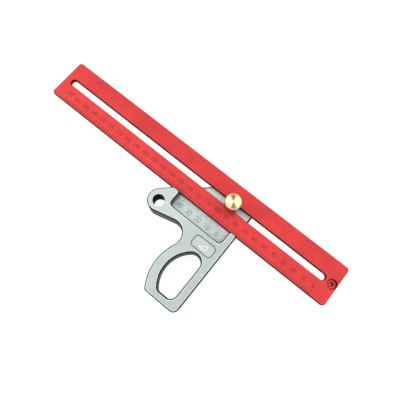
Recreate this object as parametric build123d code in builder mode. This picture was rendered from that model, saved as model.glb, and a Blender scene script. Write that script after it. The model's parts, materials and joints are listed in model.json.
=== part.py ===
"""Sliding T-rule square: a slotted rule that slides across a hooked handle under one clamp knob.

Frame: the clamp axis is X = Y = 0 and the handle's underside is Z = 0. The rule slides along X,
the grip hangs towards -Y and the straight fence of the handle faces +X.
"""
import os
from math import asin, atan2, cos, degrees, radians, sin, sqrt, tan

from build123d import *

os.makedirs("parts", exist_ok=True)

# ---- Rule -------------------------------------------------------------------------------------
rule_length = 300.0
rule_width = 38.0
rule_thickness = 4.2
rule_corner_radius = 2.5
rule_edge_break = 0.4
rule_reading = 88.3  # length of rule past the fence at rest
slot_gap = 0.1  # clamp stud to the slot, each side
slot_end_margin = 6.7  # left end of the rule to the slot
slot_front_margin = 11.5  # right end of the rule to the slot
centre_bore_margin = 4.6  # right end of the rule to the centre of the pencil bore
centre_bore_radius = 4.4
centre_bore_depth = 2.2
centre_cone_radius = 1.6
centre_cone_depth = 1.0
pencil_radius = 0.5

# ---- Handle -----------------------------------------------------------------------------------
handle_thickness = 19.0
seat_drop = 11.2  # raised face down to the rule's seat
fence_x = 19.5  # clamp axis to the fence
handle_drop = 80.0  # rule's lower edge to the bottom of the grip
seat_margin = 3.0  # seat stops short of the rule's far edge
edge_chamfer = 1.3
shoulder_gap = 0.1  # rule's lower edge to the handle's shoulder
grip_width = 39.1  # fence to the fullest point of the grip
grip_radius = 42.6
grip_rise = 25.3  # bottom of the grip to the height of its fullest point
grip_wall = 8.8
fence_wall = 7.9
bottom_wall = 6.3
finger_radius = 27.5
finger_top_fillet = 7.8
finger_heel_fillet = 6.0
finger_toe_fillet = 4.0
grip_heel_fillet = 5.0
grip_toe_fillet = 3.0
seat_fillet = 3.0
lobe_radius = 10.0  # round end of the arm, about the hang hole
lobe_reach = 49.8  # clamp axis to the middle of the round end along X
lobe_drop = 16.9  # rule's lower edge to the middle of the round end
hang_radius = 5.25
hang_chamfer = 0.3
hang_reach = 49.7  # clamp axis to the hang hole along X
hang_drop = 17.35  # rule's lower edge to the hang hole
underside_slope = 14.5  # degrees
hook_radius = 11.3
shoulder_slope = 45.0  # degrees
recess_reach = 40.55  # clamp axis to the recess's left wall
recess_depth = 13.85  # rule's lower edge to the recess's bottom wall
rib_width = 6.9
recess_fillet = 3.0
arm_end_fillet = 2.5
arm_tip_fillet = 2.0
rib_end_fillet = 2.2

# ---- Badge ------------------------------------------------------------------------------------
badge_length = 20.6
badge_width = 10.8
badge_corner = 3.2
badge_pocket_depth = 0.9
badge_plate_thickness = 0.6
badge_gap = 0.6
badge_inset = 5.8  # fence to the badge pocket
badge_drop = 18.5  # rule's lower edge to the badge pocket

# ---- Clamp ------------------------------------------------------------------------------------
stud_radius = 3.0
stud_thread_gap = 0.05
stud_foot_gap = 1.0  # foot of the stud to the foot of the insert
stud_in_knob = 9.0
insert_wall = 1.5
insert_floor = 1.5  # metal left in the handle under the insert
washer_thickness = 1.0
washer_gap = 0.2
knob_radius = 6.8
knob_height = 14.2
knob_top_chamfer = 0.9
knob_foot_chamfer = 0.4
knob_drill_point = 1.2

# ---- Derived positions ------------------------------------------------------------------------
seat_z = handle_thickness - seat_drop
rule_top_z = seat_z + rule_thickness
washer_top_z = rule_top_z + washer_thickness
rule_edge_y = -rule_width / 2
slot_width = 2 * (stud_radius + slot_gap)
insert_radius = stud_radius + insert_wall
shoulder_y = rule_edge_y - shoulder_gap
seat_far_y = rule_width / 2 - seat_margin
bottom_y = rule_edge_y - handle_drop
rule_right_x = fence_x + rule_reading
rule_left_x = rule_right_x - rule_length
grip_centre = Vector(fence_x - grip_width + grip_radius, bottom_y + grip_rise)
finger_centre = Vector(fence_x - grip_width + grip_wall + finger_radius, grip_centre.Y)
finger_right_x = fence_x - fence_wall
finger_bottom_y = bottom_y + bottom_wall
hang_centre = Vector(-hang_reach, rule_edge_y - hang_drop)
lobe_centre = Vector(-lobe_reach, rule_edge_y - lobe_drop)
recess_left_x = -recess_reach
recess_right_x = fence_x - rib_width
recess_bottom_y = rule_edge_y - recess_depth
badge_centre = Vector(
    fence_x - badge_inset - badge_length / 2, rule_edge_y - badge_drop - badge_width / 2
)


def polar(centre, radius, angle):
    """The point at an angle, in degrees, on a circle about a centre."""
    turn = radians(angle)
    return Vector(centre.X + radius * cos(turn), centre.Y + radius * sin(turn))


def arc_about(centre, radius, start, stop):
    """An arc on a circle about a centre, from one angle in degrees to another."""
    return ThreePointArc(
        polar(centre, radius, start),
        polar(centre, radius, (start + stop) / 2),
        polar(centre, radius, stop),
    )


def hook_centre():
    """The hook's circle touches the arm's underside and the grip's circle."""
    along = polar(Vector(0, 0), 1, underside_slope)
    base = polar(lobe_centre, lobe_radius + hook_radius, underside_slope - 90)
    to_grip = grip_centre - base
    run = to_grip.dot(along)
    span = grip_radius + hook_radius
    return base + along * (run - sqrt(span**2 - to_grip.length**2 + run**2))


hook = hook_centre()
hook_meet = hook - grip_centre
hook_meet_angle = degrees(atan2(hook_meet.Y, hook_meet.X))  # seen from the grip's centre
toe_angle = 180 + degrees(asin(grip_rise / grip_radius))
toe = polar(grip_centre, grip_radius, toe_angle)
shoulder_touch = polar(lobe_centre, lobe_radius, 90 + shoulder_slope)


def shoulder_x(y):
    """X of the sloping shoulder edge at a height Y."""
    return shoulder_touch.X + (y - shoulder_touch.Y) / tan(radians(shoulder_slope))


def round_corner(sketch, x, y, radius):
    """Rounds the sketch corner nearest to a point."""
    fillet(sketch.vertices().sort_by_distance((x, y, 0))[0], radius)


def finish(part, name):
    """Labels a finished piece and writes it out."""
    part.label = name
    export_step(part, f"parts/{name}.step")


# ---- Handle -----------------------------------------------------------------------------------
with BuildSketch() as outline:
    with BuildLine():
        Polyline(
            toe,
            (fence_x, bottom_y),
            (fence_x, seat_far_y),
            (shoulder_x(seat_far_y), seat_far_y),
            shoulder_touch,
        )
        arc_about(lobe_centre, lobe_radius, 90 + shoulder_slope, 270 + underside_slope)
        Line(
            polar(lobe_centre, lobe_radius, 270 + underside_slope),
            polar(hook, hook_radius, 90 + underside_slope),
        )
        arc_about(hook, hook_radius, 90 + underside_slope, hook_meet_angle - 180)
        arc_about(grip_centre, grip_radius, hook_meet_angle, toe_angle)
    make_face()
    round_corner(outline, toe.X, toe.Y, grip_toe_fillet)
    round_corner(outline, fence_x, bottom_y, grip_heel_fillet)
    round_corner(outline, fence_x, seat_far_y, seat_fillet)
    round_corner(outline, shoulder_x(seat_far_y), seat_far_y, seat_fillet)

# The raised face stops at the rule's lower edge and is cut away under the handle's scale.
with BuildSketch() as raised:
    add(outline.sketch)
    with Locations((0, shoulder_y)):
        Rectangle(2 * rule_length, rule_width, align=(Align.CENTER, Align.MIN), mode=Mode.SUBTRACT)
    with Locations((recess_left_x, recess_bottom_y)):
        Rectangle(
            recess_right_x - recess_left_x, rule_width, align=(Align.MIN, Align.MIN), mode=Mode.SUBTRACT
        )
    round_corner(raised, recess_left_x, recess_bottom_y, recess_fillet)
    round_corner(raised, recess_right_x, recess_bottom_y, recess_fillet)
    round_corner(raised, recess_left_x, shoulder_y, arm_end_fillet)
    round_corner(raised, shoulder_x(shoulder_y), shoulder_y, arm_tip_fillet)
    round_corner(raised, recess_right_x, shoulder_y, rib_end_fillet)
    round_corner(raised, fence_x, shoulder_y, rib_end_fillet)

# D-shaped hole that the fingers close round.
with BuildSketch() as finger_hole:
    with Locations(finger_centre):
        Circle(finger_radius)
    with Locations((finger_right_x, finger_bottom_y)):
        Rectangle(
            2 * grip_width, 2 * handle_drop, align=(Align.MAX, Align.MIN), mode=Mode.INTERSECT
        )
    finger_top, finger_heel = finger_hole.vertices().group_by(Axis.X)[-1].sort_by(Axis.Y)[::-1]
    finger_toe = finger_hole.vertices().sort_by(Axis.X)[0]
    fillet(finger_top, finger_top_fillet)
    round_corner(finger_hole, finger_heel.X, finger_heel.Y, finger_heel_fillet)
    round_corner(finger_hole, finger_toe.X, finger_toe.Y, finger_toe_fillet)

with BuildSketch() as badge_outline:
    with Locations(badge_centre):
        RectangleRounded(badge_length, badge_width, badge_corner)

with BuildPart() as handle:
    add(outline.sketch)
    extrude(amount=seat_z)
    chamfer(handle.faces().sort_by(Axis.Z)[-1].edges(), edge_chamfer)
    with BuildSketch(Plane.XY.offset(seat_z - 2 * edge_chamfer)):
        add(raised.sketch)
    extrude(amount=seat_drop + 2 * edge_chamfer)
    with BuildSketch():
        add(finger_hole.sketch)
    extrude(amount=handle_thickness, mode=Mode.SUBTRACT)
    for end_face in (handle.faces().sort_by(Axis.Z)[-1], handle.faces().sort_by(Axis.Z)[0]):
        chamfer(end_face.edges(), edge_chamfer)
    with BuildSketch():
        with Locations(hang_centre):
            Circle(hang_radius)
    extrude(amount=handle_thickness, mode=Mode.SUBTRACT)
    hang_rims = handle.edges().filter_by(GeomType.CIRCLE)
    hang_rims = hang_rims.filter_by(lambda edge: abs(edge.radius - hang_radius) < 1e-3)
    chamfer(hang_rims, hang_chamfer)
    with BuildSketch(Plane.XY.offset(handle_thickness)):
        add(badge_outline.sketch)
    extrude(amount=-badge_pocket_depth, mode=Mode.SUBTRACT)
    with BuildSketch(Plane.XY.offset(insert_floor)):
        Circle(insert_radius)
    extrude(amount=seat_z - insert_floor, mode=Mode.SUBTRACT)
finish(handle.part, "handle")

# ---- Badge plate ------------------------------------------------------------------------------
with BuildPart() as badge_plate:
    with BuildSketch(Plane.XY.offset(handle_thickness - badge_pocket_depth)):
        with Locations(badge_centre):
            RectangleRounded(
                badge_length - 2 * badge_gap, badge_width - 2 * badge_gap, badge_corner - badge_gap
            )
    extrude(amount=badge_plate_thickness)
finish(badge_plate.part, "badge_plate")

# ---- Threaded insert, flush with the seat -----------------------------------------------------
with BuildPart() as threaded_insert:
    with BuildSketch(Plane.XY.offset(insert_floor)):
        Circle(insert_radius)
        Circle(stud_radius + stud_thread_gap, mode=Mode.SUBTRACT)
    extrude(amount=seat_z - insert_floor)
finish(threaded_insert.part, "threaded_insert")

# ---- Rule -------------------------------------------------------------------------------------
slot_left_x = rule_left_x + slot_end_margin
slot_right_x = rule_right_x - slot_front_margin
centre_bore = Plane((rule_right_x - centre_bore_margin, 0, 0), x_dir=(1, 0, 0), z_dir=(0, -1, 0))

with BuildPart() as rule:
    with BuildSketch(Plane.XY.offset(seat_z)):
        with Locations(((rule_left_x + rule_right_x) / 2, 0)):
            RectangleRounded(rule_length, rule_width, rule_corner_radius)
        with Locations(((slot_left_x + slot_right_x) / 2, 0)):
            SlotOverall(slot_right_x - slot_left_x, slot_width, mode=Mode.SUBTRACT)
    extrude(amount=rule_thickness)
    for flat in (rule.faces().sort_by(Axis.Z)[-1], rule.faces().sort_by(Axis.Z)[0]):
        chamfer(flat.edges(), rule_edge_break)
    # Stepped bore that centres a pencil point for arcs
    floor_z = rule_top_z - centre_bore_depth
    with BuildSketch(centre_bore):
        with BuildLine():
            Polyline(
                (0, seat_z),
                (pencil_radius, seat_z),
                (pencil_radius, floor_z - centre_cone_depth),
                (centre_cone_radius, floor_z),
                (centre_bore_radius - rule_edge_break, floor_z),
                (centre_bore_radius - rule_edge_break, rule_top_z - rule_edge_break),
                (centre_bore_radius, rule_top_z),
                (0, rule_top_z),
                close=True,
            )
        make_face()
    revolve(axis=Axis(centre_bore.origin, (0, 0, 1)), mode=Mode.SUBTRACT)
finish(rule.part, "rule")

# ---- Clamp washer -----------------------------------------------------------------------------
with BuildPart() as clamp_washer:
    with BuildSketch(Plane.XY.offset(rule_top_z)):
        Circle(knob_radius)
        Circle(stud_radius + washer_gap, mode=Mode.SUBTRACT)
    extrude(amount=washer_thickness)
    chamfer(clamp_washer.faces().sort_by(Axis.Z)[-1].edges(), washer_thickness / 5)
finish(clamp_washer.part, "clamp_washer")

# ---- Clamp stud, fixed in the knob ------------------------------------------------------------
stud_foot_z = insert_floor + stud_foot_gap
stud_head_z = washer_top_z + stud_in_knob
with BuildPart() as clamp_stud:
    with BuildSketch(Plane.XY.offset(stud_foot_z)):
        Circle(stud_radius)
    extrude(amount=stud_head_z - stud_foot_z)
    chamfer(clamp_stud.edges().filter_by(GeomType.CIRCLE), stud_radius / 6)
finish(clamp_stud.part, "clamp_stud")

# ---- Clamp knob -------------------------------------------------------------------------------
with BuildPart() as clamp_knob:
    with BuildSketch(Plane.XY.offset(washer_top_z)):
        Circle(knob_radius)
    extrude(amount=knob_height)
    chamfer(clamp_knob.faces().sort_by(Axis.Z)[-1].edges(), knob_top_chamfer)
    chamfer(clamp_knob.faces().sort_by(Axis.Z)[0].edges(), knob_foot_chamfer)
    with BuildSketch(Plane.XY.offset(washer_top_z)):
        Circle(stud_radius)
    extrude(amount=stud_in_knob, mode=Mode.SUBTRACT)
    # The drill's point above the stud
    with BuildSketch(Plane.XY.offset(stud_head_z)):
        Circle(stud_radius)
    extrude(amount=knob_drill_point, taper=60, mode=Mode.SUBTRACT)
finish(clamp_knob.part, "clamp_knob")
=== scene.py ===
"""Sliding T-square: materials, markings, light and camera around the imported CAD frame, in metres."""
import json
import math

import bmesh
import bpy
from mathutils import Matrix, Vector


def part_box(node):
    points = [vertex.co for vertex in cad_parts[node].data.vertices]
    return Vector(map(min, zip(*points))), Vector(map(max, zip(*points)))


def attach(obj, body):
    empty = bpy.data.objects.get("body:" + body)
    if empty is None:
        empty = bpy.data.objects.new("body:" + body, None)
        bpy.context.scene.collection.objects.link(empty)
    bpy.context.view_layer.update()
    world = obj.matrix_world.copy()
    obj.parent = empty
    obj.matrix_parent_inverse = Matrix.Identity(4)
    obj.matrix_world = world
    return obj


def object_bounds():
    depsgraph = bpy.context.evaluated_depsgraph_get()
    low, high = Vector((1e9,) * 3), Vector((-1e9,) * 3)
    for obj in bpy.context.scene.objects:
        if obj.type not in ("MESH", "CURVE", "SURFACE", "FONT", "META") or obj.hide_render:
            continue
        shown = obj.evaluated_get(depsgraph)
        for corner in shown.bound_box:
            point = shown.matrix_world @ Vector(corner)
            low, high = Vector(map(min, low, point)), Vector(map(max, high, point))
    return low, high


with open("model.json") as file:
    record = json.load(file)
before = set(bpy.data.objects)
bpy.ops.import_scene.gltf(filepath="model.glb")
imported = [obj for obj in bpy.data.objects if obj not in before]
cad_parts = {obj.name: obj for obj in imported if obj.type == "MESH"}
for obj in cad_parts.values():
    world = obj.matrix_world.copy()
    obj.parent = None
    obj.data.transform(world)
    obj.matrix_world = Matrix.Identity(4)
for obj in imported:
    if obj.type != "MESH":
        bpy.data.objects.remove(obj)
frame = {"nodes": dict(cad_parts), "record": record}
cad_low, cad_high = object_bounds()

MM = 0.001

# ---- Places, taken from the frame --------------------------------------------------------------
rule_low, rule_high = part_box("rule")
handle_low, handle_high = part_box("handle")
knob_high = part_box("clamp_knob")[1]
badge_low, badge_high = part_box("badge_plate")
fence_x = handle_high.x
rule_top_z = rule_high.z
seat_z = rule_low.z
CLAMP_AXIS = Vector((0, 0, 0))

# ---- Markings ----------------------------------------------------------------------------------
ZERO_TO_END = 15 * MM  # zero mark to the right end of the rule
ZERO_TO_FENCE = 15 * MM  # zero of the handle's scale to the fence
RULE_SPAN_MM = 270
HANDLE_SPAN_MM = 40
RULE_NUMERAL_HEIGHT = 4.1 * MM
RULE_NUMERAL_WIDTH = 0.82  # width of the rule's numerals, as a share of the font's own
HANDLE_NUMERAL_HEIGHT = 4.8 * MM
HANDLE_NUMERAL_WIDTH = 0.92
RULE_NUMERAL_RISE = 8.6 * MM  # rule's lower edge to the middle of its numerals
RULE_NUMERAL_SHIFT = -0.8 * MM  # tick to the middle of its numeral
HANDLE_NUMERAL_DROP = 7.5 * MM  # rule's lower edge to the middle of the handle's numerals
MARK_PROUD = 0.012 * MM
MARK_DEEP = 0.03 * MM
CAP_SHARE = 0.729  # cap height of the built-in font, as a share of its size

# ---- Tones fitted to the reference view, as shares of the face tone -------------------------------
# They are painted light and shade that stand in for that view's light, are fixed to the object, and stay as
# the rule slides.
# Painted light on the recessed seat's level floor, with a slight warm tint
SEAT_PAINTED_LIGHT = 1.3
SEAT_PAINTED_TINT = (1, 1, 0.97)
PAINTED_LIGHT_REACH = 3 * MM  # from the rule's lower edge to where the painted light strip on the seat begins
# Painted light along the rule's lower edge, in place of light its lower wall reflects, and slightly under
# the rule
RULE_EDGE_PAINTED_LIGHT = 1.5
UNDER_RULE_PAINTED_LIGHT = 1.06
# Painted light gradient across the handle: lighter at the arm, darker at the fence
ARM_PAINTED_LIGHT = 1.12
FENCE_PAINTED_SHADE = 0.91
# Painted shade inside the hang hole's bore
BORE_PAINTED_SHADE = 0.12
# Painted shade on the floor of the badge's pocket
POCKET_PAINTED_SHADE = 0.05
GRADUATED_PAINTED_SHEEN = 1.1  # painted sheen on the half of the rule that carries the scale
# Painted highlight on the upper chamfers of the raised face
PAINTED_EDGE_HIGHLIGHT = (0.92, 0.97, 0.96)
PAINTED_EDGE_HIGHLIGHT_DROP = 0.4 * MM  # raised face down to the foot of the painted highlight on its chamfers


# ---- Material helpers --------------------------------------------------------------------------
class Shader:
    """A node material with short calls for the nodes used here."""

    def __init__(self, name):
        self.material = bpy.data.materials.new(name)
        self.material.use_nodes = True
        self.nodes = self.material.node_tree.nodes
        self.links = self.material.node_tree.links
        self.surface = self.nodes["Principled BSDF"]

    def add(self, kind, settings=None, **inputs):
        """Adds a node, sets its properties, and sets or links its inputs."""
        made = self.nodes.new("ShaderNode" + kind)
        for name, value in (settings or {}).items():
            setattr(made, name, value)
        for name, value in inputs.items():
            key = int(name[1:]) if name[1:].isdigit() else name.replace("_", " ")
            self.feed(made, key, value)
        return made

    def feed(self, target, key, value):
        """Links an output to a socket, or writes a plain value on it."""
        socket = target.inputs[key]
        if isinstance(value, bpy.types.NodeSocket):
            self.links.new(value, socket)
        else:
            socket.default_value = value

    def place(self, stretch=(1, 1, 1)):
        """Object-space place, stretched along its axes."""
        where = self.add("TexCoord").outputs["Object"]
        return self.add("Mapping", Vector=where, Scale=stretch).outputs[0]

    def noise(self, scale, detail=2.0, stretch=(1, 1, 1)):
        """Noise from 0 to 1, its scale in cycles per metre."""
        return self.add("TexNoise", Vector=self.place(stretch), Scale=scale, Detail=detail).outputs["Fac"]

    def flatness(self):
        """1 on faces that look straight up or down, 0 on upright walls."""
        normal = self.add("TexCoord").outputs["Normal"]
        height = self.add("SeparateXYZ", Vector=normal).outputs["Z"]
        return self.add("Math", {"operation": "ABSOLUTE"}, i0=height).outputs[0]

    def ramp(self, factor, *stops):
        """Colours along a factor: each stop is (place, colour)."""
        made = self.add("ValToRGB", Fac=factor)
        band = made.color_ramp.elements
        while len(band) < len(stops):
            band.new(0.5)
        for element, (at, colour) in zip(band, stops):
            element.position = at
            element.color = (*colour, 1.0)
        return made.outputs["Color"]

    def mix(self, how, factor, first, second):
        """Mixes two colours."""
        made = self.add("Mix", {"data_type": "RGBA", "blend_type": how})
        self.feed(made, 0, factor)
        self.feed(made, 6, first)
        self.feed(made, 7, second)
        return made.outputs[2]

    def math(self, how, first, second):
        """One arithmetic step."""
        return self.add("Math", {"operation": how}, i0=first, i1=second).outputs[0]

    def distance(self, x, y, axis):
        """Distance in plan from an upright axis."""
        across = self.math("SUBTRACT", x, axis.x)
        along = self.math("SUBTRACT", y, axis.y)
        square = self.math("ADD", self.math("MULTIPLY", across, across), self.math("MULTIPLY", along, along))
        return self.math("SQRT", square, 0.0)

    def bump(self, height, strength, distance):
        """Feeds a bump made from a height to the surface."""
        made = self.add("Bump", Strength=strength, Distance=distance, Height=height)
        self.feed(self.surface, "Normal", made.outputs[0])

    def finish(self, **inputs):
        """Sets the surface's own sockets, and gives the material."""
        for name, value in inputs.items():
            self.feed(self.surface, name.replace("_", " "), value)
        return self.material


def grey(value, tint=(1, 1, 1)):
    """A tinted grey."""
    return tuple(value * part for part in tint)


# ---- Materials ---------------------------------------------------------------------------------
def blasted_aluminium(name, face, wall, edge, bore=None):
    """Bead-blasted, clear anodised aluminium, with painted shade on its walls and edges.

    A bore marks the handle, which also takes the fitted tones of its bore, seat, pocket and edges: painted
    shade in the bore and pocket, painted light on the seat and along the rule's edge, a painted light
    gradient from arm to fence, and a painted highlight on the upper chamfers.
    """
    s = Shader(name)
    flat = s.flatness()
    # Painted shade: walls and chamfers are darker than the face
    tone = s.ramp(flat, (0.0, wall), (0.55, wall), (0.66, edge), (0.8, edge), (0.96, face))
    if bore:
        place = s.add("SeparateXYZ", Vector=s.add("TexCoord").outputs["Object"]).outputs
        from_axis = s.distance(place["X"], place["Y"], Vector(bore["pos_m"]))
        # Painted shade: the inside of the hang hole's bore is darkened
        inside = s.math("LESS_THAN", from_axis, bore["dims"]["r_mm"] * MM * 1.04)
        tone = s.mix("MULTIPLY", inside, tone, (*grey(BORE_PAINTED_SHADE), 1.0))
        # Painted light: the recessed seat's level floor is brightened
        sunk = s.math("LESS_THAN", place["Z"], seat_z + 0.2 * MM)
        seat_light = s.ramp(flat, (0.9, grey(1.0)), (0.96, grey(SEAT_PAINTED_LIGHT, SEAT_PAINTED_TINT)))
        tone = s.mix("MULTIPLY", sunk, tone, seat_light)
        # Painted light: a bright strip on the seat along the rule's lower edge, standing in for reflected
        # light
        past_start = s.math("SUBTRACT", place["Y"], rule_low.y - PAINTED_LIGHT_REACH)
        strip = s.ramp(
            s.math("DIVIDE", past_start, 2 * PAINTED_LIGHT_REACH),
            (0.0, grey(1.0)),
            (0.42, grey(1.4)),
            (0.5, grey(RULE_EDGE_PAINTED_LIGHT)),
            (0.6, grey(UNDER_RULE_PAINTED_LIGHT)),
        )
        tone = s.mix("MULTIPLY", s.math("MULTIPLY", sunk, flat), tone, strip)
        # Painted light gradient: lighter towards the arm, darker towards the fence
        span = s.math("DIVIDE", s.math("SUBTRACT", place["X"], handle_low.x), handle_high.x - handle_low.x)
        tone = s.mix("MULTIPLY", 1.0, tone, s.ramp(span, (0.0, grey(ARM_PAINTED_LIGHT)), (1.0, grey(FENCE_PAINTED_SHADE))))
        # Painted highlight: a pale line on the chamfers just below the raised face
        high = s.math("GREATER_THAN", place["Z"], handle_high.z - PAINTED_EDGE_HIGHLIGHT_DROP)
        sloping = s.ramp(flat, (0.6, grey(0.0)), (0.66, grey(1.0)), (0.8, grey(1.0)), (0.9, grey(0.0)))
        tone = s.mix("MIX", s.math("MULTIPLY", high, sloping), tone, (*PAINTED_EDGE_HIGHLIGHT, 1.0))
        # Painted shade: the floor of the badge's pocket is darkened
        off_pocket = s.add("Math", {"operation": "ABSOLUTE"}, i0=s.math("SUBTRACT", place["Z"], badge_low.z))
        pocket = s.math("LESS_THAN", off_pocket.outputs[0], 0.05 * MM)
        tone = s.mix("MULTIPLY", pocket, tone, (*grey(POCKET_PAINTED_SHADE), 1.0))
    clouds = s.ramp(s.noise(45, 3.0), (0.3, grey(0.93)), (0.7, grey(1.03)))
    grain = s.ramp(s.noise(1700, 3.0), (0.3, grey(0.92)), (0.7, grey(1.07)))
    colour = s.mix("MULTIPLY", 1.0, tone, clouds)
    colour = s.mix("MULTIPLY", 1.0, colour, grain)
    s.bump(s.noise(4200, 2.0), 0.22, 0.04 * MM)
    dull = s.ramp(flat, (0.0, grey(0.95)), (0.8, grey(0.9)), (0.96, grey(0.5)))
    return s.finish(Base_Color=colour, Metallic=0.35, Roughness=dull, Specular_IOR_Level=0.3)


def anodised_red():
    """Satin red anodising over a rolled strip, with painted shade on its walls and edges and a painted sheen
    on its graduated half.
    """
    s = Shader("rule_red")
    # Painted shade: the rule's walls and chamfers are darker than its top face
    tone = s.ramp(
        s.flatness(),
        (0.0, (0.13, 0.006, 0.008)),
        (0.6, (0.02, 0.001, 0.001)),
        (0.8, (0.02, 0.001, 0.001)),
        (0.96, (0.61, 0.042, 0.041)),
    )
    clouds = s.ramp(s.noise(60, 3.0), (0.3, grey(0.90)), (0.7, grey(1.08)))
    speckle = s.ramp(s.noise(1100, 2.0), (0.3, grey(0.88)), (0.7, grey(1.11)))
    rolled = s.ramp(s.noise(900, 2.0, (0.04, 1, 1)), (0.3, grey(0.95)), (0.7, grey(1.05)))
    across = s.add("SeparateXYZ", Vector=s.place()).outputs["Y"]
    share = s.math("DIVIDE", s.math("SUBTRACT", across, rule_low.y), rule_high.y - rule_low.y)
    # Painted sheen: the graduated half of the rule is lighter
    half = s.ramp(share, (0.4, grey(GRADUATED_PAINTED_SHEEN)), (0.6, grey(1.0)))
    colour = s.mix("MULTIPLY", 1.0, tone, half)
    colour = s.mix("MULTIPLY", 1.0, colour, clouds)
    colour = s.mix("MULTIPLY", 1.0, colour, rolled)
    colour = s.mix("MULTIPLY", 1.0, colour, speckle)
    s.bump(s.noise(2600, 2.0, (0.06, 1, 1)), 0.12, 0.02 * MM)
    dull = s.ramp(s.flatness(), (0.0, grey(0.95)), (0.8, grey(0.9)), (0.96, grey(0.42)))
    return s.finish(Base_Color=colour, Metallic=0.3, Roughness=dull, Specular_IOR_Level=0.2)


def turned_metal(name, face, rim, side, roughness, groove):
    """Metal turned on a lathe, with fine rings about the clamp axis, and painted shade and reflection on its
    side and rim.
    """
    s = Shader(name)
    place = s.add("SeparateXYZ", Vector=s.add("TexCoord").outputs["Object"]).outputs
    along = s.math("ADD", s.distance(place["X"], place["Y"], CLAMP_AXIS), place["Z"])
    rings = s.add("TexNoise", {"noise_dimensions": "1D"}, W=along, Scale=groove, Detail=3.0)
    shade = s.ramp(rings.outputs["Fac"], (0.3, grey(0.86)), (0.7, grey(1.05)))
    # Painted shade and reflection: the side and rim take their own tones in place of the shade and
    # reflections they show
    tone = s.ramp(s.flatness(), (0.0, side), (0.55, side), (0.66, rim), (0.8, rim), (0.95, face))
    tint = s.mix("MULTIPLY", 1.0, tone, shade)
    s.bump(rings.outputs["Fac"], 0.25, 0.02 * MM)
    around = s.add("Tangent", {"direction_type": "RADIAL", "axis": "Z"})
    s.feed(s.surface, "Tangent", around.outputs[0])
    gloss = s.ramp(
        s.flatness(), (0.0, grey(0.1)), (0.6, grey(0.2)), (0.8, grey(0.2)), (0.95, grey(roughness))
    )
    return s.finish(
        Base_Color=tint, Metallic=1.0, Roughness=gloss, Anisotropic=1.0, Anisotropic_Rotation=0.25
    )


def marking(name, colour):
    """Laser or print marking, slightly uneven."""
    s = Shader(name)
    worn = s.ramp(s.noise(700, 3.0), (0.25, grey(0.8)), (0.75, grey(1.15)))
    return s.finish(Base_Color=s.mix("MULTIPLY", 1.0, (*colour, 1.0), worn), Roughness=0.6)


def dress(node, material):
    """Gives a CAD node one material."""
    slots = frame["nodes"][node].data.materials
    slots.clear()
    slots.append(material)


# Face, rim and side tones; the rim and side tones are painted reflection and shade
brass = turned_metal(
    "turned_brass", (0.95, 0.76, 0.41), (1.0, 0.75, 0.50), (0.55, 0.36, 0.18), 0.32, 2600
)
steel = turned_metal("turned_steel", grey(0.6), grey(0.25), grey(0.3), 0.28, 2600)
hang_hole = next(mount for mount in frame["record"]["mounts"] if mount["name"] == "hang_hole")
# The wall and edge tones of the handle and badge are painted shade
handle_side_shade = grey(0.17, (0.92, 1.0, 1.08))
dress("handle", blasted_aluminium("handle_grey", (0.475, 0.535, 0.53), handle_side_shade, grey(0.015), hang_hole))
dress("badge_plate", blasted_aluminium("badge_grey", (0.51, 0.55, 0.53), grey(0.2), grey(0.12)))
dress("rule", anodised_red())
dress("clamp_knob", brass)
dress("threaded_insert", brass)
dress("clamp_washer", steel)
dress("clamp_stud", steel)


# ---- Markings ----------------------------------------------------------------------------------
def add_block(mesh, centre, size):
    """Adds a thin block to a mesh."""
    where = Matrix.Translation(centre) @ Matrix.Diagonal((*size, 1.0))
    bmesh.ops.create_cube(mesh, size=1.0, matrix=where)


def add_text(mesh, text, centre, height, width_share):
    """Adds raised text, centred on a point of a level face."""
    curve = bpy.data.curves.new("numeral", "FONT")
    curve.body = text
    curve.size = height / CAP_SHARE
    curve.align_x = "CENTER"
    curve.extrude = (MARK_PROUD + MARK_DEEP) / 2
    curve.resolution_u = 4
    holder = bpy.data.objects.new("numeral", curve)
    bpy.context.scene.collection.objects.link(holder)
    bpy.context.view_layer.update()
    drawn = bpy.data.meshes.new_from_object(holder.evaluated_get(bpy.context.evaluated_depsgraph_get()))
    condensed = Matrix.Diagonal((width_share, 1, 1, 1))
    drawn.transform(Matrix.Translation(centre - Vector((0, height / 2, 0))) @ condensed)
    mesh.from_mesh(drawn)
    bpy.data.objects.remove(holder)
    bpy.data.meshes.remove(drawn)
    bpy.data.curves.remove(curve)


def add_scale(mesh, zero_x, step, edge_y, side, level, span_mm, numeral_y, numeral_size, numeral_shift=0.0):
    """Adds millimetre ticks away from an edge, with a numeral every ten."""
    mid = level + (MARK_PROUD - MARK_DEEP) / 2
    for count in range(span_mm + 1):
        if count % 10 == 0:
            reach, thick = 4.4 * MM, 0.34 * MM
        elif count % 5 == 0:
            reach, thick = 3.4 * MM, 0.28 * MM
        else:
            reach, thick = 2.4 * MM, 0.24 * MM
        x = zero_x + step * count * MM
        middle = Vector((x, edge_y + side * (0.6 * MM + reach / 2), mid))
        add_block(mesh, middle, (thick, reach, MARK_PROUD + MARK_DEEP))
        if count % 10 == 0:
            add_text(mesh, str(count), Vector((x + numeral_shift, numeral_y, mid)), *numeral_size)


def piece(name, mesh, material, body):
    """Turns a mesh into a piece that rides a body."""
    bmesh.ops.remove_doubles(mesh, verts=mesh.verts, dist=1e-7)
    data = bpy.data.meshes.new(name)
    mesh.to_mesh(data)
    mesh.free()
    data.materials.append(material)
    made = bpy.data.objects.new(name, data)
    bpy.context.scene.collection.objects.link(made)
    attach(made, body)
    return made


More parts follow.
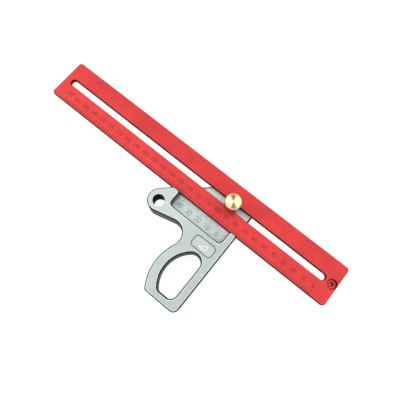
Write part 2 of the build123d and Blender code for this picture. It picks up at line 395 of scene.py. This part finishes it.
graduations = bmesh.new()
rule_zero_x = rule_high.x - ZERO_TO_END
add_scale(
    graduations,
    rule_zero_x,
    -1,
    rule_low.y,
    1,
    rule_top_z,
    RULE_SPAN_MM,
    rule_low.y + RULE_NUMERAL_RISE,
    (RULE_NUMERAL_HEIGHT, RULE_NUMERAL_WIDTH),
    RULE_NUMERAL_SHIFT,
)
piece("rule_graduations", graduations, marking("laser_red", (0.15, 0.007, 0.008)), "blade")

handle_scale = bmesh.new()
handle_zero_x = fence_x - ZERO_TO_FENCE
add_scale(
    handle_scale,
    handle_zero_x,
    -1,
    rule_low.y,
    -1,
    seat_z,
    HANDLE_SPAN_MM,
    rule_low.y - HANDLE_NUMERAL_DROP,
    (HANDLE_NUMERAL_HEIGHT, HANDLE_NUMERAL_WIDTH),
)
piece("handle_graduations", handle_scale, marking("laser_grey", (0.26, 0.29, 0.28)), "stock")

# A set square and its baseline, raised on the badge plate
GLYPH_STROKE = 0.5 * MM
GLYPH_WIDTH = 7.0 * MM
GLYPH_HEIGHT = 4.6 * MM


def add_stroke(mesh, start, stop, level):
    """Adds one round-ended stroke, standing just proud of a level face."""
    run = stop - start
    side = Vector((-run.y, run.x)).normalized() * GLYPH_STROKE / 2
    heading = math.atan2(side.y, side.x)
    outline = [
        end + Vector((math.cos(angle), math.sin(angle))) * GLYPH_STROKE / 2
        for end, first in ((start, heading), (stop, heading + math.pi))
        for angle in (first + math.pi * step / 8 for step in range(9))
    ]
    foot = [mesh.verts.new((*point, level - MARK_DEEP)) for point in outline]
    top = [mesh.verts.new((*point, level + MARK_PROUD)) for point in outline]
    mesh.faces.new(foot[::-1])
    mesh.faces.new(top)
    for here, after in zip(range(len(outline)), [*range(1, len(outline)), 0]):
        mesh.faces.new((foot[here], foot[after], top[after], top[here]))


glyph = bmesh.new()
badge_middle = (badge_low + badge_high) / 2
left, right = badge_middle.x - GLYPH_WIDTH / 2, badge_middle.x + GLYPH_WIDTH / 2
foot_y, top_y = badge_middle.y - GLYPH_HEIGHT / 2, badge_middle.y + GLYPH_HEIGHT / 2
corners = [Vector((left, foot_y)), Vector((right, foot_y)), Vector((right, top_y))]
for start, stop in zip(corners, corners[1:] + corners[:1]):
    add_stroke(glyph, start, stop, badge_high.z)
piece("badge_glyph", glyph, marking("print_white", (0.92, 0.93, 0.92)), "stock")

# ---- Floor, light and camera -------------------------------------------------------------------
FLOOR_SIZE = 6.0
CAMERA_PLACE = Vector((26.7, -82.7, 346.1)) * MM
CAMERA_AIM = Vector((-24.1, -13.15, 12.0)) * MM
CAMERA_TURN = 39.3  # degrees from +X to the picture's right, in plan
CAMERA_LENS = 36.54
GLOW_TO_SURFACES = 0.37  # what the floor lights the object with
GLOW_SEEN_EXTRA = 0.56  # added for camera and glossy rays, so that the floor looks white
PICTURE_RIGHT = Vector((math.cos(math.radians(CAMERA_TURN)), math.sin(math.radians(CAMERA_TURN)), 0))


def floor():
    """A plain white floor just under the handle; it looks brighter than the light it gives."""
    bpy.ops.mesh.primitive_plane_add(size=FLOOR_SIZE, location=(0, 0, cad_low.z - 0.1 * MM))
    made = bpy.context.object
    made.name = "floor"
    s = Shader("pale_floor")
    pale = s.ramp(s.noise(3, 2.0), (0.3, grey(0.09)), (0.7, grey(0.11)))
    s.feed(s.surface, "Emission Color", (1, 1, 1, 1))
    path = s.add("LightPath").outputs
    seen = s.math("MAXIMUM", path["Is Camera Ray"], path["Is Glossy Ray"])
    glow = s.math("ADD", s.math("MULTIPLY", seen, GLOW_SEEN_EXTRA), GLOW_TO_SURFACES)
    made.data.materials.append(s.finish(Base_Color=pale, Roughness=0.8, Emission_Strength=glow))


def sky(bright, dark, horizon):
    """White walls of light at the picture's left and right, and a dim band between them."""
    to_lens = CAMERA_PLACE - Vector((0, 0, knob_high.z))
    glance = Vector((-to_lens.x, -to_lens.y, to_lens.z)).normalized()
    across = (PICTURE_RIGHT - glance * PICTURE_RIGHT.dot(glance)).normalized()
    along = glance.cross(across)
    world = bpy.data.worlds.new("studio")
    bpy.context.scene.world = world
    world.use_nodes = True
    nodes, links = world.node_tree.nodes, world.node_tree.links
    way = nodes.new("ShaderNodeTexCoord").outputs["Generated"]

    def node(kind, operation, *inputs):
        made = nodes.new(kind)
        made.operation = operation
        for key, value in enumerate(inputs):
            if isinstance(value, bpy.types.NodeSocket):
                links.new(value, made.inputs[key])
            else:
                made.inputs[key].default_value = value
        return made

    sideways = node("ShaderNodeVectorMath", "DOT_PRODUCT", way, across).outputs["Value"]
    lengthways = node("ShaderNodeVectorMath", "DOT_PRODUCT", way, along).outputs["Value"]
    angle = node("ShaderNodeMath", "ARCTAN2", sideways, lengthways).outputs[0]
    share = node("ShaderNodeMath", "ABSOLUTE", node("ShaderNodeMath", "SINE", angle).outputs[0]).outputs[0]
    height = nodes.new("ShaderNodeSeparateXYZ")
    links.new(way, height.inputs[0])
    low = node("ShaderNodeMath", "LESS_THAN", height.outputs["Z"], 0.45).outputs[0]
    share = node("ShaderNodeMath", "MAXIMUM", share, low).outputs[0]
    band = nodes.new("ShaderNodeValToRGB")
    band.color_ramp.elements[0].position = 0.38
    band.color_ramp.elements[0].color = (*grey(dark), 1)
    band.color_ramp.elements[1].position = 0.56
    band.color_ramp.elements[1].color = (*grey(bright), 1)
    links.new(share, band.inputs[0])
    links.new(band.outputs[0], nodes["Background"].inputs["Color"])
    fall = nodes.new("ShaderNodeMapRange")
    links.new(height.outputs["Z"], fall.inputs["Value"])
    fall.inputs["From Max"].default_value = 0.9
    fall.inputs["To Min"].default_value = horizon
    links.new(fall.outputs["Result"], nodes["Background"].inputs["Strength"])


def camera():
    """The camera, turned so that the rule runs down to the right."""
    data = bpy.data.cameras.new("camera")
    data.lens = CAMERA_LENS
    data.sensor_width = 36
    data.clip_start, data.clip_end = 0.01, 20
    made = bpy.data.objects.new("camera", data)
    back = (CAMERA_PLACE - CAMERA_AIM).normalized()
    right = (PICTURE_RIGHT - back * PICTURE_RIGHT.dot(back)).normalized()
    up = back.cross(right)
    axes = Matrix((right, up, back)).transposed().to_4x4()
    made.matrix_world = Matrix.Translation(CAMERA_PLACE) @ axes
    bpy.context.scene.collection.objects.link(made)
    bpy.context.scene.camera = made


floor()
sky(2.1, 0.06, 0.3)
camera()
bpy.context.scene.view_settings.view_transform = "Standard"
